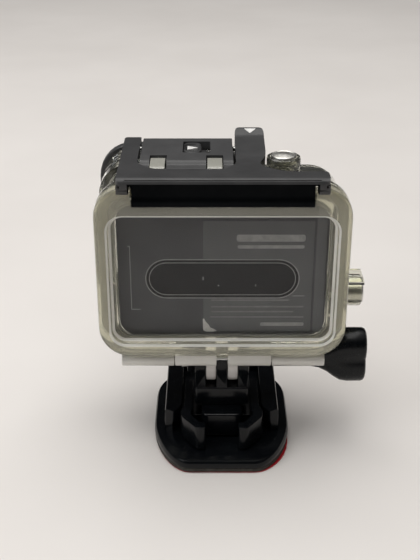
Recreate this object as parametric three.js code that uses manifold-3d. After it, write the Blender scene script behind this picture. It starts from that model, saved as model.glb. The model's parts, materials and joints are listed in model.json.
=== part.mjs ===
// Action camera in a clear dive housing, on a quick-release buckle and a flat adhesive mount.
// Millimetres, +Z up. World origin: on the floor, at the adhesive face, under the tilt bolt's axis.
// +Y points towards the lens, +X to the right of a person who looks at the camera's back.
import * as THREE from 'three';
import { mergeVertices } from 'three/addons/utils/BufferGeometryUtils.js';
import Module from 'manifold-3d';

const wasm = await Module();
wasm.setup();

// ---------------------------------------------------------------- driving dimensions
const BOLT_Z = 26; // height of the tilt bolt's axis above the floor
const HOUSING_ORIGIN = new THREE.Vector3(0, -12, 59); // door's rear plane, centre of the flange

// housing, in its own frame: x right, y forward from the door's rear plane, z up
const FLANGE = { left: -35, right: 35, bottom: -26.7, top: 25, radius: 9 };
const BODY = { left: -33.5, right: 33.5, bottom: -25, top: 23.5, radius: 9 };
const CAVITY = { left: -30.2, right: 30.2, bottom: -22.6, top: 19.6, radius: 5 };
const DOOR_DEPTH = 4;
const FLANGE_REAR = 4.3;
const FLANGE_FRONT = 7;
const CAVITY_FRONT = 24.6;
const BODY_FRONT = 27;
const BODY_EDGE_R = 5;

// back door
const WINDOW_RECESS = { left: -31.3, right: 31.3, bottom: -22.6, top: 16.2, radius: 4 };
const WINDOW_REAR = 2.7;
const PLUG = { left: -29.7, right: 29.7, bottom: -22, top: 19, radius: 4.5 };
const PLUG_FRONT = 5.3;
const LIP_NOTCH_TOP = 19.4;
const LIP_NOTCH_HALF = 24.8;
const END_NOTCH_TOP = 23.5;
const END_NOTCH_HALF = 28.5;
const HINGE_Y = 3.2;
const HINGE_Z = -29.2;
const HINGE_R = 1.9;
const HINGE_PIN_R = 0.8;
const HINGE_SPLITS = [-29, -13.8, -13.6, 14.2, 14.4, 29.6];
const HINGE_SPAN = [-30, 30.6];
const MIDDLE_PRONG_GAP = 1.65; // half the gap in the door's barrel, for the buckle's middle prong

// seal: the groove in the flange, and the ring that lies in it
const GROOVE_OUTER = { left: -34.2, right: 34.2, bottom: -24.8, top: 23.2, radius: 8 };
const GROOVE_INNER = { left: -31.4, right: 31.4, bottom: -23.2, top: 20.8, radius: 5.5 };
const GROOVE_FLOOR = 5.9;

// lens port
const PORT_X = -15;
const PORT_Z = 3.5;
const PORT_SIZE = 43;
const PORT_BLOCK_SIZE = 41;
const PORT_BORE_R = 15.5;
const PORT_BLOCK_FRONT = 36.2;
const PORT_FRONT = 40;
const PORT_SCREW_OFFSET = 16.9;
const PORT_GLASS_SIZE = 35;
const PORT_GLASS_CORNER = 8.3;

// latch
const LATCH_Y = 8.7;
const LATCH_Z = 25.2;
const LATCH_BARREL_R = 3.1;
const LATCH_PIN_R = 1.2;
const LATCH_RELIEF_R = 3.5;
const KNUCKLE_R = 3.2;
const KNUCKLES = [[-19.8, -15.8], [-4.2, -0.2]];
const KNUCKLE_FRONT = 14.8;
const LEVER = { left: -22.8, right: 2.9, front: 32.4, under: 26, top: 28.3 };
const HOOK = { left: -28.2, right: 28, rear: -3.5, front: 32.7, under: 25.5, top: 28.6, tabTop: 31.6 };
const HOOK_LIP = { half: 24.4, rear: -1, front: 2.2, bottom: 19.75 };
const HOOK_PIN_Y = 25;
const HOOK_PIN_Z = 27;
const HOOK_PIN_R = 0.7;
const LOCK_SLOT = { left: -11, right: -3.5, rear: 19.2, front: 29 };

// prongs and bolt
const PRONG_R = 7.3;
const PRONG_HALF = 1.55;
const PRONG_PITCH = 3.2;
const BOLT_R = 2.4;
const BOLT_BORE_R = 2.7;

// camera body
const CAMERA = { left: -29.5, right: 29.5, bottom: -22.4, top: 19, radius: 4.5 };
const CAMERA_REAR = 6;
const REAR_COVER_FRONT = 7.9;
const CAMERA_FRONT = 24;
const CAMERA_WALL = 1.6;

const SIDE_BUTTON_Z = -14.4;

// push buttons: place in the housing frame, outward direction, cap radius, wall thickness
const BUTTONS = {
  shutter: { at: [17, 17, BODY.top], out: 'z', capR: 3.6, bossR: 4.75, bossTop: 4.5, wall: 3.9 },
  side: { at: [BODY.right, 18, SIDE_BUTTON_Z], out: 'x', capR: 3.6, bossR: 4.4, bossTop: 7.6, wall: 3.3 },
  front: { at: [19, BODY_FRONT, 3], out: 'y', capR: 3.4, bossR: 4.2, bossTop: 3.6, wall: 2.4 },
};
const GUARD_RIB = { right: 41.5, rear: 13.5, front: 22.5, bottom: -10.3, top: -9.3 };
const CUP_FLOOR = 1.2;
const STEM_R = 1.2;
const KEY_DEPTH = 1.6;

// ---------------------------------------------------------------- solids and outlines
function signedVolume(position, index) {
  const corner = [new THREE.Vector3(), new THREE.Vector3(), new THREE.Vector3()];
  let total = 0;
  for (let i = 0; i < index.length; i += 3) {
    corner.forEach((point, k) => point.fromArray(position, index[i + k] * 3));
    total += corner[0].dot(corner[1].cross(corner[2])) / 6;
  }
  return total;
}

// turns a closed three.js geometry into a solid, with its faces pointing out
function solidOf(geometry) {
  const bare = geometry.clone();
  bare.deleteAttribute('normal');
  bare.deleteAttribute('uv');
  const merged = mergeVertices(bare, 1e-4);
  const position = new Float32Array(merged.attributes.position.array);
  const kept = [];
  for (let i = 0; i < merged.index.count; i += 3) {
    const [a, b, c] = [0, 1, 2].map((k) => merged.index.getX(i + k));
    if (a !== b && b !== c && c !== a) {
      kept.push(a, b, c);
    }
  }
  if (signedVolume(position, kept) < 0) {
    kept.reverse();
  }
  const mesh = new wasm.Mesh({
    numProp: 3,
    vertProperties: position,
    triVerts: new Uint32Array(kept),
  });
  return new wasm.Manifold(mesh);
}

function geometryOf(solid) {
  const mesh = solid.getMesh();
  const geometry = new THREE.BufferGeometry();
  geometry.setAttribute('position', new THREE.BufferAttribute(mesh.vertProperties, 3));
  geometry.setIndex(new THREE.BufferAttribute(mesh.triVerts, 1));
  geometry.computeVertexNormals();
  return geometry;
}

const join = (...solids) => solids.reduce((all, next) => all.add(next));
const cut = (first, ...tools) => tools.reduce((left, tool) => left.subtract(tool), first);

// turns local x, y, z so that z points along the named axis and the outline stays upright
const UPRIGHT = {
  x: new THREE.Matrix4().makeBasis(
    new THREE.Vector3(0, 1, 0), new THREE.Vector3(0, 0, 1), new THREE.Vector3(1, 0, 0)),
  y: new THREE.Matrix4().makeBasis(
    new THREE.Vector3(-1, 0, 0), new THREE.Vector3(0, 0, 1), new THREE.Vector3(0, 1, 0)),
  z: new THREE.Matrix4(),
};

// outline coordinates: (y, z) when extruded along x, (x, z) along y, (x, y) along z
function extrude(shape, axis, from, to, curveSegments = 3) {
  const geometry = new THREE.ExtrudeGeometry(shape, {
    depth: to - from, bevelEnabled: false, curveSegments,
  });
  if (axis === 'y') {
    geometry.rotateX(Math.PI / 2);
    geometry.translate(0, to, 0);
    return solidOf(geometry);
  }
  geometry.translate(0, 0, from);
  geometry.applyMatrix4(UPRIGHT[axis]);
  return solidOf(geometry);
}

// a rounded box extruded forwards, with its front edge rounded over
function domed(outline, from, to, edge) {
  const slices = [0, 30, 60, 90].map((degrees) => {
    const angle = (degrees * Math.PI) / 180;
    const depth = to - edge * (1 - Math.sin(angle));
    return extrude(roundedBox(shrink(outline, edge * (1 - Math.cos(angle)))), 'y', depth - 0.1, depth, 4);
  });
  return wasm.Manifold.hull([extrude(roundedBox(outline), 'y', from, from + 1, 4), ...slices]);
}

function polygon(points) {
  return new THREE.Shape(points.map(([a, b]) => new THREE.Vector2(a, b)));
}

function roundedBox({ left, right, bottom, top, radius }) {
  const shape = new THREE.Shape();
  shape.moveTo(left + radius, bottom);
  shape.lineTo(right - radius, bottom);
  shape.absarc(right - radius, bottom + radius, radius, -Math.PI / 2, 0, false);
  shape.absarc(right - radius, top - radius, radius, 0, Math.PI / 2, false);
  shape.absarc(left + radius, top - radius, radius, Math.PI / 2, Math.PI, false);
  shape.absarc(left + radius, bottom + radius, radius, Math.PI, Math.PI * 1.5, false);
  return shape;
}

function shrink(box, by) {
  return {
    left: box.left + by,
    right: box.right - by,
    bottom: box.bottom + by,
    top: box.top - by,
    radius: box.radius - by * 0.8,
  };
}

function roundedSquare(size, radius, x = PORT_X, z = PORT_Z) {
  return roundedBox({
    left: x - size / 2, right: x + size / 2, bottom: z - size / 2, top: z + size / 2, radius,
  });
}

function block(x0, x1, y0, y1, z0, z1) {
  const geometry = new THREE.BoxGeometry(x1 - x0, y1 - y0, z1 - z0);
  geometry.translate((x0 + x1) / 2, (y0 + y1) / 2, (z0 + z1) / 2);
  return solidOf(geometry);
}

// a cylinder along an axis; a and b are the other two coordinates of its centre line
function rod(axis, radius, from, to, a, b, segments = 20) {
  const geometry = new THREE.CylinderGeometry(radius, radius, to - from, segments);
  const middle = (from + to) / 2;
  if (axis === 'x') {
    geometry.rotateZ(Math.PI / 2);
    geometry.translate(middle, a, b);
  } else if (axis === 'y') {
    geometry.translate(a, middle, b);
  } else {
    geometry.rotateX(Math.PI / 2);
    geometry.translate(a, b, middle);
  }
  return solidOf(geometry);
}

// a turned piece about its own z axis; profile points are (radius, z)
function turned(profile, segments = 16) {
  const points = profile.map(([r, z]) => new THREE.Vector2(r, z));
  const geometry = new THREE.LatheGeometry(points, segments);
  geometry.rotateX(Math.PI / 2);
  return solidOf(geometry);
}

class Helix extends THREE.Curve {
  constructor(radius, height, turns) {
    super();
    Object.assign(this, { radius, height, turns });
  }

  getPoint(t, target = new THREE.Vector3()) {
    const angle = t * this.turns * Math.PI * 2;
    const x = this.radius * Math.cos(angle);
    const y = this.radius * Math.sin(angle);
    return target.set(x, y, t * this.height);
  }
}

function coil(radius, wireR, from, to, turns) {
  const section = new THREE.Shape();
  section.absarc(0, 0, wireR, 0, Math.PI * 2, false);
  const geometry = new THREE.ExtrudeGeometry(section, {
    steps: turns * 8,
    curveSegments: 3,
    bevelEnabled: false,
    extrudePath: new Helix(radius, to - from, turns),
  });
  geometry.translate(0, 0, from);
  return solidOf(geometry);
}

// ---------------------------------------------------------------- materials
const FINISHES = {
  clear: { color: 0xc9c9b4, roughness: 0.12, metalness: 0, transparent: true, opacity: 0.4 },
  satinBlack: { color: 0x3c3c3d, roughness: 0.5, metalness: 0 },
  glossBlack: { color: 0x0c0d0e, roughness: 0.16, metalness: 0 },
  cameraGrey: { color: 0x454548, roughness: 0.55, metalness: 0 },
  steel: { color: 0xc8c9c6, roughness: 0.22, metalness: 1 },
  seal: { color: 0xd6d0bd, roughness: 0.6, metalness: 0 },
  rubber: { color: 0x1a1a1b, roughness: 0.7, metalness: 0 },
  foam: { color: 0x4a4a42, roughness: 0.9, metalness: 0 },
  liner: { color: 0xb3202c, roughness: 0.5, metalness: 0 },
  label: { color: 0x4b4b50, roughness: 0.45, metalness: 0 },
  glass: { color: 0x1c2230, roughness: 0.04, metalness: 0, transparent: true, opacity: 0.6 },
  board: { color: 0x1f4a33, roughness: 0.5, metalness: 0 },
  battery: { color: 0x7c7f86, roughness: 0.5, metalness: 0 },
};

function piece(name, solid, finish) {
  const mesh = new THREE.Mesh(geometryOf(solid), new THREE.MeshStandardMaterial(FINISHES[finish]));
  mesh.name = name;
  return mesh;
}

// ---------------------------------------------------------------- adhesive mount
function baseOutline(grow = 0) {
  const half = 20.5 + grow;
  const rear = -24 - grow;
  const front = 26 + grow;
  const shape = new THREE.Shape();
  shape.moveTo(-9.5, rear);
  shape.lineTo(9.5, rear);
  shape.bezierCurveTo(14.5, rear, half, -13, half, -2);
  shape.lineTo(half, 12);
  shape.bezierCurveTo(half, 21, 16, front, 8, front);
  shape.lineTo(-8, front);
  shape.bezierCurveTo(-16, front, -half, 21, -half, 12);
  shape.lineTo(-half, -2);
  shape.bezierCurveTo(-half, -13, -14.5, rear, -9.5, rear);
  return shape;
}

const RAIL = { outer: 17.2, web: 14.8, lip: 11.9, top: 11.5, lipUnder: 7.8, rear: -6, front: 22 };

function mountBase() {
  const plate = extrude(baseOutline(), 'z', 1.65, 4, 4);
  const section = [
    [RAIL.web, 3.8], [RAIL.outer, 3.8], [RAIL.outer, RAIL.top - 0.8], [RAIL.outer - 0.8, RAIL.top],
    [RAIL.lip, RAIL.top], [RAIL.lip, RAIL.lipUnder], [RAIL.web, RAIL.lipUnder],
  ];
  const mirrored = section.map(([x, z]) => [-x, z]).reverse();
  const right = extrude(polygon(section), 'y', RAIL.rear, RAIL.front);
  const left = extrude(polygon(mirrored), 'y', RAIL.rear, RAIL.front);
  const stop = block(-RAIL.outer, RAIL.outer, RAIL.front - 0.1, RAIL.front + 2, 3.8, 9.5);
  const bump = block(-1.6, 1.6, -20.2, -18.6, 3.9, 4.2);
  return join(plate, right, left, stop, bump);
}

function mountParts() {
  const group = new THREE.Group();
  const liner = extrude(baseOutline(-0.1), 'z', 0, 0.3, 4).translate([0.5, 0, 0]);
  const foam = extrude(baseOutline(-0.15), 'z', 0.4, 1.55, 4);
  group.add(piece('release_liner', liner, 'liner'));
  group.add(piece('adhesive_pad', foam, 'foam'));
  group.add(piece('mount_base', mountBase(), 'glossBlack'));
  return group;
}

// ---------------------------------------------------------------- quick-release buckle
function prongRows(count) {
  return Array.from({ length: count }, (_, i) => (i - (count - 1) / 2) * 2 * PRONG_PITCH);
}

function buckleBody() {
  const sled = block(-14.5, 14.5, -4.5, 21.2, 4.4, 7.4);
  const tongue = extrude(roundedBox({
    left: -6, right: 6, bottom: -11.8, top: 11, radius: 2,
  }), 'z', 4.6, 12.2);
  const neck = block(-7.95, 7.95, -6.6, 6.6, 12.3, 18.2);
  const root = block(-6, 6, -6, 6, 12, 12.6);
  const prongs = prongRows(3).map((x) => join(
    rod('x', PRONG_R, x - PRONG_HALF, x + PRONG_HALF, 0, BOLT_Z, 28),
    block(x - PRONG_HALF, x + PRONG_HALF, -6.6, 6.6, 18, BOLT_Z - 3),
  ));
  const nutBoss = rod('x', 5.6, -10.2, -7.9, 0, BOLT_Z, 30);
  const nutPocket = rod('x', 4.7, -10.3, -8.1, 0, BOLT_Z, 6);
  const bore = rod('x', BOLT_BORE_R, -11, 9, 0, BOLT_Z);
  return cut(join(sled, tongue, root, neck, ...prongs, nutBoss), nutPocket, bore);
}

// one squeeze arm, drawn for the right-hand side and mirrored for the left
function clipArm(side) {
  const outline = [
    [11.2, 8], [8.7, 8], [8.7, -8], [9.4, -10.6], [6.4, -14.4], [4.8, -14.4],
    [4.8, -17.4], [7.4, -17.4], [12.2, -11.2], [12.2, -8.4], [11.2, -6.6],
  ];
  const points = side > 0 ? outline : outline.map(([x, y]) => [-x, y]).reverse();
  const upper = extrude(polygon(points), 'z', 7.7, 12);
  const lower = extrude(polygon(points), 'z', 4.7, 7.8);
  const rearOnly = block(-20, 20, -20, -5.2, 4, 8);
  return join(upper, lower.intersect(rearOnly));
}

function thumbKnob() {
  const collar = turned([
    [0, 8.4], [3.6, 8.4], [3.6, 26.5], [4.3, 29.5], [5.6, 32.4], [6.6, 35.8], [0, 35.8],
  ]).transform(new THREE.Matrix4().makeRotationY(Math.PI / 2).elements);
  const lobes = new THREE.Shape();
  lobes.absarc(0, BOLT_Z + 4.7, 3.9, 0, Math.PI, false);
  lobes.quadraticCurveTo(-3.4, BOLT_Z, -3.9, BOLT_Z - 4.7);
  lobes.absarc(0, BOLT_Z - 4.7, 3.9, Math.PI, Math.PI * 2, false);
  lobes.quadraticCurveTo(3.4, BOLT_Z, 3.9, BOLT_Z + 4.7);
  const paddle = extrude(lobes, 'x', 35.6, 42.8, 5);
  const placed = collar.translate([0, 0, BOLT_Z]);
  return cut(join(placed, paddle), rod('x', BOLT_R + 0.15, 8, 34.4, 0, BOLT_Z));
}

function buckleParts() {
  const group = new THREE.Group();
  group.add(piece('buckle_body', buckleBody(), 'glossBlack'));
  group.add(piece('clip_arm_left', clipArm(-1), 'glossBlack'));
  group.add(piece('clip_arm_right', clipArm(1), 'glossBlack'));
  const nut = cut(
    rod('x', 4.4, -11.9, -8.3, 0, BOLT_Z, 6),
    rod('x', BOLT_R + 0.15, -12, -8, 0, BOLT_Z),
  );
  group.add(piece('thumb_nut', nut, 'steel'));
  group.add(piece('thumb_bolt', rod('x', BOLT_R, -12.4, 34.2, 0, BOLT_Z), 'steel'));
  group.add(piece('thumb_knob', thumbKnob(), 'satinBlack'));
  return group;
}

// ---------------------------------------------------------------- clear housing shell
function placeOutward(solid, button) {
  const turn = button.out === 'z' ? new THREE.Matrix4() : UPRIGHT[button.out].clone();
  turn.setPosition(...button.at);
  return solid.transform(turn.elements);
}

function hingeBarrel(from, to) {
  const web = extrude(polygon([
    [HINGE_Y + 0.4, HINGE_Z - 0.8], [HINGE_Y + 1.9, HINGE_Z], [FLANGE_FRONT - 0.4, FLANGE.bottom + 0.7],
    [FLANGE_REAR + 0.1, FLANGE.bottom + 0.7], [FLANGE_REAR + 0.1, FLANGE.bottom - 0.7],
  ]), 'x', from, to);
  return join(rod('x', HINGE_R, from, to, HINGE_Y, HINGE_Z, 20), web);
}

function housingProng(x) {
  const axisY = -HOUSING_ORIGIN.y;
  const axisZ = BOLT_Z - HOUSING_ORIGIN.z;
  const root = polygon([
    [6.6, BODY.bottom + 0.2], [19.3, BODY.bottom + 0.2], [axisY + 7.2, axisZ], [axisY - 7.2, axisZ],
  ]);
  return join(
    rod('x', PRONG_R, x - PRONG_HALF + 0.1, x + PRONG_HALF - 0.1, axisY, axisZ, 28),
    extrude(root, 'x', x - PRONG_HALF + 0.1, x + PRONG_HALF - 0.1),
  );
}

function buttonBoss(button) {
  const outer = turned([[0, -0.4], [button.bossR, -0.4], [button.bossR, button.bossTop],
    [0, button.bossTop]]);
  return placeOutward(outer, button);
}

function buttonBore(button) {
  const { capR, bossTop, wall } = button;
  const bore = turned([
    [0, -wall - 1], [2.3, -wall - 1], [2.3, -wall + 1.7], [STEM_R + 0.15, -wall + 1.7],
    [STEM_R + 0.15, CUP_FLOOR], [capR + 0.2, CUP_FLOOR], [capR + 0.2, bossTop + 1],
    [0, bossTop + 1],
  ]);
  return placeOutward(bore, button);
}

function housingShell() {
  const body = domed(BODY, FLANGE_REAR + 1, BODY_FRONT, BODY_EDGE_R);
  const flange = extrude(roundedBox(FLANGE), 'y', FLANGE_REAR, FLANGE_FRONT, 4);
  const portOutline = roundedSquare(PORT_BLOCK_SIZE, 9.5);
  const portBlock = extrude(portOutline, 'y', BODY_FRONT - BODY_EDGE_R, PORT_BLOCK_FRONT, 4);
  const bosses = Object.values(BUTTONS).map(buttonBoss);
  const guardRib = block(
    BODY.right - 0.5, GUARD_RIB.right, GUARD_RIB.rear, GUARD_RIB.front, GUARD_RIB.bottom, GUARD_RIB.top);
  let shell = join(body, flange, portBlock, ...bosses, guardRib);

  const cavity = extrude(roundedBox(CAVITY), 'y', FLANGE_REAR - 1, CAVITY_FRONT);
  const lensBore = rod('y', PORT_BORE_R, CAVITY_FRONT - 1, PORT_BLOCK_FRONT + 1, PORT_X, PORT_Z, 32);
  const sealGroove = cut(
    extrude(roundedBox(GROOVE_OUTER), 'y', FLANGE_REAR - 1, GROOVE_FLOOR),
    extrude(roundedBox(GROOVE_INNER), 'y', FLANGE_REAR - 2, GROOVE_FLOOR + 0.3),
  );
  const latchRelief = rod('x', LATCH_RELIEF_R, LEVER.left - 0.4, LEVER.right + 0.4, LATCH_Y, LATCH_Z, 32);
  const bores = Object.values(BUTTONS).map(buttonBore);
  shell = cut(shell, cavity, lensBore, sealGroove, latchRelief, ...bores);

  const knuckles = KNUCKLES.map(([from, to]) => join(
    rod('x', KNUCKLE_R, from, to, LATCH_Y, LATCH_Z, 28),
    block(from, to, LATCH_Y - 2.6, LATCH_Y + 2.6, 21.2, LATCH_Z),
    block(from, to, LATCH_Y, KNUCKLE_FRONT, BODY.top - 0.3, LATCH_Z + KNUCKLE_R),
  ));
  const barrels = [hingeBarrel(...HINGE_SPLITS.slice(0, 2)), hingeBarrel(...HINGE_SPLITS.slice(4, 6))];
  const prongs = prongRows(2).map(housingProng);
  shell = join(shell, ...knuckles, ...barrels, ...prongs);

  const screwHoles = portCorners().map(([x, z]) => rod('y', 0.8, 33, 37, x, z, 12));
  return cut(
    shell,
    rod('x', LATCH_PIN_R + 0.15, -25, 5, LATCH_Y, LATCH_Z, 16),
    rod('x', HINGE_PIN_R + 0.2, ...HINGE_SPAN, HINGE_Y, HINGE_Z, 12),
    rod('x', BOLT_BORE_R, -6, 6, -HOUSING_ORIGIN.y, BOLT_Z - HOUSING_ORIGIN.z),
    ...screwHoles,
  );
}

// ---------------------------------------------------------------- back door and its seal
function backDoor() {
  const slab = extrude(roundedBox(FLANGE), 'y', 0, DOOR_DEPTH, 4);
  const window = extrude(roundedBox(PLUG), 'y', DOOR_DEPTH - 1, PLUG_FRONT);
  const recess = extrude(roundedBox(WINDOW_RECESS), 'y', -1, WINDOW_REAR);
  const lipNotch = block(-LIP_NOTCH_HALF, LIP_NOTCH_HALF, -1, DOOR_DEPTH + 1, LIP_NOTCH_TOP, 30);
  const endNotch = block(-END_NOTCH_HALF, END_NOTCH_HALF, -1, DOOR_DEPTH + 1, END_NOTCH_TOP, 30);
  const barrel = join(
    rod('x', HINGE_R, HINGE_SPLITS[2], HINGE_SPLITS[3], HINGE_Y, HINGE_Z, 20),
    block(HINGE_SPLITS[2], HINGE_SPLITS[3], 1.4, HINGE_Y + 0.4, HINGE_Z, FLANGE.bottom + 1.7),
  );
  const split = block(-MIDDLE_PRONG_GAP, MIDDLE_PRONG_GAP, -1, 6, HINGE_Z - 3, FLANGE.bottom + 0.1);
  return cut(
    join(cut(slab, lipNotch, endNotch), window, barrel),
    recess,
    split,
    rod('x', HINGE_PIN_R + 0.2, ...HINGE_SPAN, HINGE_Y, HINGE_Z, 12),
  );
}

function doorSeal() {
  return cut(
    extrude(roundedBox(shrink(GROOVE_OUTER, 0.2)), 'y', FLANGE_REAR + 0.15, GROOVE_FLOOR - 0.1),
    extrude(roundedBox(shrink(GROOVE_INNER, -0.2)), 'y', FLANGE_REAR - 1, GROOVE_FLOOR + 1),
  );
}

// ---------------------------------------------------------------- lens port
function portCorners() {
  return [-1, 1].flatMap((sx) => [-1, 1].map((sz) => [
    PORT_X + sx * PORT_SCREW_OFFSET, PORT_Z + sz * PORT_SCREW_OFFSET,
  ]));
}

function portParts() {
  const group = new THREE.Group();
  const frame = extrude(roundedSquare(PORT_SIZE, 10), 'y', PORT_BLOCK_FRONT + 0.2, PORT_FRONT, 4);
  const glassSeat = extrude(roundedSquare(PORT_GLASS_SIZE + 0.4, PORT_GLASS_CORNER + 0.2), 'y', 36, 39.1);
  const opening = extrude(roundedSquare(31, 7), 'y', 36, 41);
  const screwSeats = portCorners().flatMap(([x, z]) => [
    rod('y', 1.75, 38.9, 41, x, z, 16), rod('y', 0.8, 36, 40, x, z, 12),
  ]);
  group.add(piece('port_bezel', cut(frame, glassSeat, opening, ...screwSeats), 'satinBlack'));
  const glass = extrude(roundedSquare(PORT_GLASS_SIZE, PORT_GLASS_CORNER), 'y', 37.35, 38.95);
  group.add(piece('port_glass', glass, 'glass'));
  const gasket = cut(
    extrude(roundedSquare(PORT_GLASS_SIZE, PORT_GLASS_CORNER), 'y', 36.35, 37.2),
    rod('y', PORT_BORE_R, 36, 38, PORT_X, PORT_Z, 32),
  );
  group.add(piece('port_gasket', gasket, 'rubber'));
  portCorners().forEach(([x, z], i) => {
    const screw = join(
      turned([[0, 0], [1.6, 0], [1.6, 0.5], [1.2, 0.9], [0, 0.9]], 16),
      turned([[0, -5], [0.6, -5], [0.6, 0.2], [0, 0.2]], 12),
    );
    const mesh = piece(`port_screw_${i + 1}`, cut(screw, block(-0.2, 0.2, -1.1, 1.1, 0.55, 2)), 'steel');
    mesh.position.set(x, 39.05, z);
    mesh.rotation.x = -Math.PI / 2;
    group.add(mesh);
  });
  return group;
}

// ---------------------------------------------------------------- latch
function latchLever() {
  const { left, right, front, under, top } = LEVER;
  const barrel = rod('x', LATCH_BARREL_R, left, right, LATCH_Y, LATCH_Z, 28);
  const plate = block(left, right, LATCH_Y, front, under, top);
  const skirts = [[left, left + 2.3], [right - 2.3, right]].map(([x0, x1]) => block(x0, x1,
    LATCH_Y + 3.6, front, 25.2, top));
  const frontEdge = block(left, right, front - 2, front, 25.2, top);
  const outline = extrude(polygon([
    [left, front + 1], [left, LATCH_Y + 0.8], [left + 2.5, 5.4], [right - 2.5, 5.4],
    [right, LATCH_Y + 0.8], [right, front + 1],
  ]), 'z', 20, 30);
  const slots = KNUCKLES.map(([from, to]) => join(
    rod('x', LATCH_RELIEF_R, from - 0.3, to + 0.3, LATCH_Y, LATCH_Z, 28),
    block(from - 0.3, to + 0.3, LATCH_Y, KNUCKLE_FRONT + 2, 20, 30),
  ));
  const slot = block(LOCK_SLOT.left, LOCK_SLOT.right, LOCK_SLOT.rear, LOCK_SLOT.front, 20, 30);
  const pinBores = [[left - 1, left + 2.1], [right - 2.1, right + 1]].map(([x0, x1]) => rod('x',
    HOOK_PIN_R + 0.15, x0, x1, HOOK_PIN_Y, HOOK_PIN_Z, 12));
  const axle = rod('x', LATCH_PIN_R + 0.2, left - 1, right + 1, LATCH_Y, LATCH_Z, 16);
  return cut(join(barrel, plate, ...skirts, frontEdge).intersect(outline), ...slots, slot, axle,
    ...pinBores);
}

function latchHook() {
  const { left, right, rear, front, under, top, tabTop } = HOOK;
  const plan = new THREE.Shape();
  plan.moveTo(left, front + 1);
  plan.lineTo(left, rear + 2);
  plan.quadraticCurveTo(left, rear, left + 2, rear);
  plan.lineTo(right - 2, rear);
  plan.quadraticCurveTo(right, rear, right, rear + 2);
  plan.lineTo(right, 2.65);
  plan.lineTo(16, 2.65);
  plan.bezierCurveTo(11.5, 2.65, 9.8, 6.5, 9.8, 9.5);
  plan.bezierCurveTo(9.8, 12, 11.8, 14, 11.8, 18);
  plan.lineTo(11.8, front + 1);
  plan.lineTo(LEVER.right + 0.7, front + 1);
  plan.lineTo(LEVER.right + 0.7, 9.2);
  plan.lineTo(0.9, 4.8);
  plan.lineTo(-20.8, 4.8);
  plan.lineTo(LEVER.left - 0.6, 9.2);
  plan.lineTo(LEVER.left - 0.6, front + 1);
  const side = extrude(polygon([
    [rear, under], [front, under], [front, top - 0.8], [front - 0.8, top], [rear + 1.7, top],
    [rear + 0.5, top - 0.6], [rear, top - 1.6],
  ]), 'x', left - 1, right + 1);
  const tabRise = extrude(polygon([
    [9, top - 0.6], [front, top - 0.6], [front, tabTop - 0.6], [front - 0.7, tabTop],
    [front - 3.5, tabTop - 1.6], [10, top],
  ]), 'x', LEVER.right, 13);
  const lip = block(
    -HOOK_LIP.half, HOOK_LIP.half, HOOK_LIP.rear, HOOK_LIP.front, HOOK_LIP.bottom, under + 0.5);
  const ends = [[left, -HOOK_LIP.half], [HOOK_LIP.half, right]].map(([from, to]) => block(
    from, to, rear + 0.2, HOOK_LIP.front, under - 1.6, under + 0.5));
  const solid = join(join(side, tabRise).intersect(extrude(plan, 'z', 18, 33)), lip, ...ends);
  return cut(solid, rod('x', HOOK_PIN_R + 0.2, left, 11, HOOK_PIN_Y, HOOK_PIN_Z, 12));
}

function lockSlider() {
  const { left, rear, front } = LOCK_SLOT;
  const thumbPad = extrude(roundedBox({
    left: left + 0.2, right: left + 4.9, bottom: rear + 0.3, top: front - 0.3, radius: 1.4,
  }), 'z', 25.4, 28.1);
  const foot = block(left - 0.8, left + 5.9, rear - 0.9, front + 0.3, 24.5, 25.7);
  return join(thumbPad, foot);
}

function latchParts() {
  const group = new THREE.Group();
  group.add(piece('latch_lever', latchLever(), 'satinBlack'));
  group.add(piece('latch_hook', latchHook(), 'satinBlack'));
  group.add(piece('lock_slider', lockSlider(), 'satinBlack'));
  group.add(piece('latch_pin', rod('x', LATCH_PIN_R, -22.4, 2.5, LATCH_Y, LATCH_Z, 16), 'steel'));
  const pins = { hook_pin_left: [-27.8, -20.9], hook_pin_right: [1, 10.8] };
  Object.entries(pins).forEach(([name, [from, to]]) => {
    group.add(piece(name, rod('x', HOOK_PIN_R, from, to, HOOK_PIN_Y, HOOK_PIN_Z, 12), 'steel'));
  });
  const spring = piece('lock_spring', coil(0.7, 0.15, 0, 4.8, 5), 'steel');
  spring.position.set(-4.7, 22.75, 25);
  spring.rotation.y = Math.PI / 2;
  group.add(spring);
  return group;
}

// ---------------------------------------------------------------- push buttons
function buttonCap({ capR, bossTop, wall }) {
  const skirt = 2.9;
  const under = bossTop - 0.3;
  return turned([
    [0, -wall - 0.1], [STEM_R, -wall - 0.1], [STEM_R, under], [capR - 0.7, under],
    [capR - 0.7, skirt], [capR, skirt], [capR, bossTop + 0.1], [capR - 0.5, bossTop + 0.5],
    [capR * 0.5, bossTop + 0.8], [0, bossTop + 0.9],
  ]);
}

function buttonGroup(name, button) {
  const group = new THREE.Group();
  const { bossTop, wall } = button;
  group.add(piece(`${name}_button_cap`, buttonCap(button), 'steel'));
  const springR = Math.min(button.capR - 1.6, 2.2);
  const turns = Math.round(bossTop * 0.7);
  const spring = coil(springR, 0.25, CUP_FLOOR + 0.35, bossTop - 0.6, turns);
  group.add(piece(`${name}_button_spring`, spring, 'steel'));
  const seal = turned([
    [1.3, 0.55], [1.55, 0.3], [1.95, 0.3], [2.2, 0.55], [2.2, 0.95], [1.95, 1.2],
    [1.55, 1.2], [1.3, 0.95], [1.3, 0.55],
  ], 12).translate([0, 0, -wall + 0.4]);
  group.add(piece(`${name}_button_o_ring`, seal, 'rubber'));
  const clip = turned([[1.3, 0.1], [2, 0.1], [2, 0.4], [1.3, 0.4], [1.3, 0.1]], 12);
  group.add(piece(`${name}_button_clip`, clip.translate([0, 0, -wall]), 'steel'));
  if (button.out !== 'z') {
    group.setRotationFromMatrix(UPRIGHT[button.out]);
  }
  group.position.set(...button.at);
  return group;
}

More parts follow.
